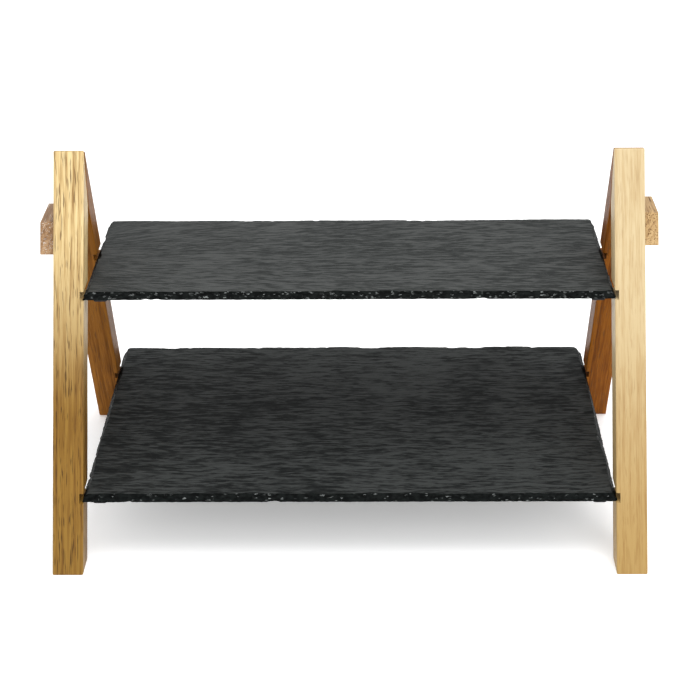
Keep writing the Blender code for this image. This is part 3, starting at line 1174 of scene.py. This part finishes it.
@dataclass
class Tier:
    """A slate and the four foam pads under its corners."""

    label: str
    slate: Slate
    pad_around: int = 48
    pad_power: float = 6.0

    def build(self, groups: Groups, foam: bpy.types.Material) -> list[bpy.types.Object]:
        """Build the slate and its pads.

        Args:
            groups: The shared node groups.
            foam: Finish of the pads.

        Returns:
            The pieces of this tier.
        """
        body = f"{self.label}_tier"
        made = [self.slate.build(groups, body)]
        for end in ("front", "rear"):
            for hand in ("left", "right"):
                made.append(self.build_pad(f"{self.label}_{end}_{hand}_pad", body, foam))
        return made

    def build_pad(self, node: str, body: str, foam: bpy.types.Material) -> bpy.types.Object:
        """Build one pad: a soft-cornered square whose side bulges a little under its load.

        Args:
            node: Name of the pad's solid.
            body: Body that the pad rides on.
            foam: Finish of the pad.

        Returns:
            The pad.
        """
        low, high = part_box(node)
        centre, half = (low + high) / 2, (high - low) / 2
        bulge = np.array(
            [
                (0.0, 1.0), (0.5, 1.0), (0.9, 1.0), (0.955, 0.94), (0.985, 0.7), (0.998, 0.3), (1.0, 0.0),
                (0.998, -0.3), (0.985, -0.65), (0.95, -0.88), (0.89, -0.96), (0.5, -1.0), (0.0, -1.0),
            ]
        )
        points, faces = spin_profile(bulge, self.pad_around, self.pad_power, tuple(half), tuple(centre))
        pad = make_piece(f"{node}_foam", points, faces, foam)
        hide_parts(node)
        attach(pad, body)
        return pad


# ---------------------------------------------------------------- studio


@dataclass(frozen=True)
class StudioCamera:
    """The camera, by its place, its turns in degrees and its lens."""

    place: Triple = (0.01586, -1.3112, 0.72411)
    pitch_down: float = 24.86
    turn_left: float = 0.70
    roll: float = -0.46
    focal_length: float = 94.17
    sensor_width: float = 36.0

    def build(self) -> None:
        """Place the camera: forward from the turn and the pitch, then right and up rolled about it."""
        pitch, yaw, roll = (math.radians(angle) for angle in (self.pitch_down, -self.turn_left, self.roll))
        forward = Vector((math.sin(yaw) * math.cos(pitch), math.cos(yaw) * math.cos(pitch), -math.sin(pitch)))
        level = Vector((math.cos(yaw), -math.sin(yaw), 0.0))
        upright = level.cross(forward)
        right = level * math.cos(roll) + upright * math.sin(roll)
        up = upright * math.cos(roll) - level * math.sin(roll)
        turn = Matrix((right, up, -forward)).transposed().to_4x4()
        data = bpy.data.cameras.new("camera")
        data.lens = self.focal_length
        data.sensor_width = self.sensor_width
        data.clip_start, data.clip_end = 0.05, 50.0
        camera = bpy.data.objects.new("camera", data)
        camera.matrix_world = Matrix.Translation(self.place) @ turn
        bpy.context.scene.collection.objects.link(camera)
        bpy.context.scene.camera = camera


@dataclass(frozen=True)
class SoftLight:
    """A square studio panel that faces a point."""

    name: str
    place: Triple
    aim: Triple
    size: float
    watts: float
    colour: Colour = (1.0, 1.0, 1.0)

    def build(self) -> None:
        """Place the panel and turn it to its aim."""
        data = bpy.data.lights.new(self.name, "AREA")
        data.shape = "SQUARE"
        data.size = self.size
        data.energy = self.watts
        data.color = self.colour
        light = bpy.data.objects.new(self.name, data)
        light.location = self.place
        light.rotation_euler = (Vector(self.aim) - Vector(self.place)).to_track_quat("-Z", "Y").to_euler()
        bpy.context.scene.collection.objects.link(light)


@dataclass(frozen=True)
class Studio:
    """White surroundings, a pale floor, soft panels and the camera."""

    camera: StudioCamera = StudioCamera()
    surroundings: float = 1.0
    floor_glow: float = 0.3
    floor_size: float = 12.0
    floor_tone: Colour = (0.93, 0.93, 0.93)
    lights: tuple[SoftLight, ...] = (
        SoftLight("overhead_panel", (0.25, -0.35, 1.7), (0.0, 0.0, 0.1), 1.3, 16.0),
        SoftLight("front_panel", (0.9, -1.7, 1.2), (0.0, 0.0, 0.12), 1.0, 10.0),
    )

    def build(self) -> None:
        """Build the surroundings, the floor, the panels and the camera."""
        scene = bpy.context.scene
        scene.view_settings.view_transform = "Standard"
        world = bpy.data.worlds.new("studio")
        world.use_nodes = True
        background = world.node_tree.nodes["Background"]
        background.inputs["Color"].default_value = (1.0, 1.0, 1.0, 1.0)
        background.inputs["Strength"].default_value = self.surroundings
        scene.world = world
        self.build_floor()
        for light in self.lights:
            light.build()
        self.camera.build()

    def build_floor(self) -> None:
        """Lay the floor, one flat square at height 0."""
        reach = self.floor_size / 2
        corners = reach * np.array([(-1, -1, 0), (1, -1, 0), (1, 1, 0), (-1, 1, 0)])
        bench, shader = start_material("pale_floor")
        shader.inputs["Base Color"].default_value = (*self.floor_tone, 1.0)
        shader.inputs["Roughness"].default_value = 0.9
        shader.inputs["Specular IOR Level"].default_value = 0.1
        shader.inputs["Emission Color"].default_value = (1.0, 1.0, 1.0, 1.0)
        shader.inputs["Emission Strength"].default_value = self.floor_glow
        floor = make_piece("floor", corners, [np.array([[0, 1, 2, 3]])], bench_material(bench))


# ---------------------------------------------------------------- finishes of this stand

GOLDEN_STREAKED = WoodFinish(
    light=(0.67, 0.52, 0.267),
    middle=(0.525, 0.37, 0.165),
    dark=(0.27, 0.156, 0.055),
    pith=(0.035, 0.012, 0.0),
    streak_strength=0.5,
    pore_strength=0.75,
    # Painted shade darkening this leg towards its foot.
    painted_foot_shade_tone=(0.36, 0.25, 0.08),
    painted_foot_shade_share=1.0,
    painted_foot_shade_from=0.35,
    painted_foot_shade_to=0.9,
)
GOLDEN_DARK = WoodFinish(
    light=(0.252, 0.099, 0.014),
    middle=(0.182, 0.066, 0.008),
    dark=(0.085, 0.03, 0.0036),
    pith=(-0.02, 0.03, 0.0),
    specular=0.05,
)
PALE = WoodFinish(
    light=(0.54, 0.428, 0.248),
    middle=(0.461, 0.337, 0.175),
    dark=(0.322, 0.218, 0.106),
    pore=(0.36, 0.22, 0.10),
    pith=(0.06, 0.05, 0.0),
    ring_strength=0.25,
    streak_strength=0.3,
    pore_strength=0.35,
    cloud=0.25,
    # Painted shade darkening this leg towards its foot.
    painted_foot_shade_tone=(0.68, 0.55, 0.32),
    painted_foot_shade_share=1.0,
    painted_foot_shade_to=0.85,
)
RED_BROWN = WoodFinish(
    light=(0.264, 0.088, 0.0077),
    middle=(0.185, 0.055, 0.0043),
    dark=(0.081, 0.022, 0.0018),
    pith=(0.01, 0.03, 0.0),
    ring_strength=0.5,
    specular=0.05,
)
PINKISH = WoodFinish(
    light=(0.37, 0.229, 0.122),
    middle=(0.276, 0.158, 0.078),
    dark=(0.171, 0.092, 0.044),
    pore=(0.70, 0.66, 0.62),
)
TAN = WoodFinish(
    light=(0.483, 0.326, 0.155),
    middle=(0.41, 0.263, 0.115),
    dark=(0.263, 0.154, 0.064),
    pore=(0.12, 0.05, 0.01),
    pore_strength=1.0,
)
# The lower slate's darker face colours and fewer pale crumbs on its edge are partly the stone's own tone and
# partly painted shade from the upper tier above it.
SLATE_DARK_PAINTED_SHADE = SlateFinish(low=(0.005, 0.006, 0.006), high=(0.035, 0.038, 0.037), crumbs=0.15)
SLATE_FANNED = SlateFinish(low=(0.019, 0.021, 0.0205), high=(0.052, 0.055, 0.0535), crumbs=0.6, fan=1.0)


def main() -> None:
    """Build the studio, both end frames and both tiers."""
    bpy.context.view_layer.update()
    Studio().build()
    groups = Groups()
    steel = SteelFinish().material("pin_steel")
    foam = FoamFinish().material("pad_foam")
    ends = (
        EndFrame(
            side=Side.LEFT,
            front=GOLDEN_STREAKED,
            rear=GOLDEN_DARK,
            cleat=PINKISH,
            seed=11,
            mitre=(0.0014, 0.0030),
            rear_drop=0.0022,
        ),
        EndFrame(
            side=Side.RIGHT,
            front=PALE,
            rear=RED_BROWN,
            cleat=TAN,
            seed=23,
            mitre=(0.0004, 0.0005),
            rear_drop=0.0004,
        ),
    )
    lower_slate = Slate(
        node="lower_slate", finish=SLATE_DARK_PAINTED_SHADE, seed=41, corner_radii=(0.002, 0.003, 0.009, 0.007)
    )
    upper_slate = Slate(
        node="upper_slate",
        finish=SLATE_FANNED,
        seed=67,
        corner_radii=(0.002, 0.003, 0.006, 0.004),
        clips=((-1, 1, 0.003, 0.007),),
    )
    tiers = (Tier("lower", lower_slate), Tier("upper", upper_slate))
    pieces = [piece for end in ends for piece in end.build(groups, steel)]
    pieces += [piece for tier in tiers for piece in tier.build(groups, foam)]
    for piece in pieces:
        LOG.info("%s: %d faces", piece.name, len(piece.data.polygons))


if __name__ == "__main__":
    main()
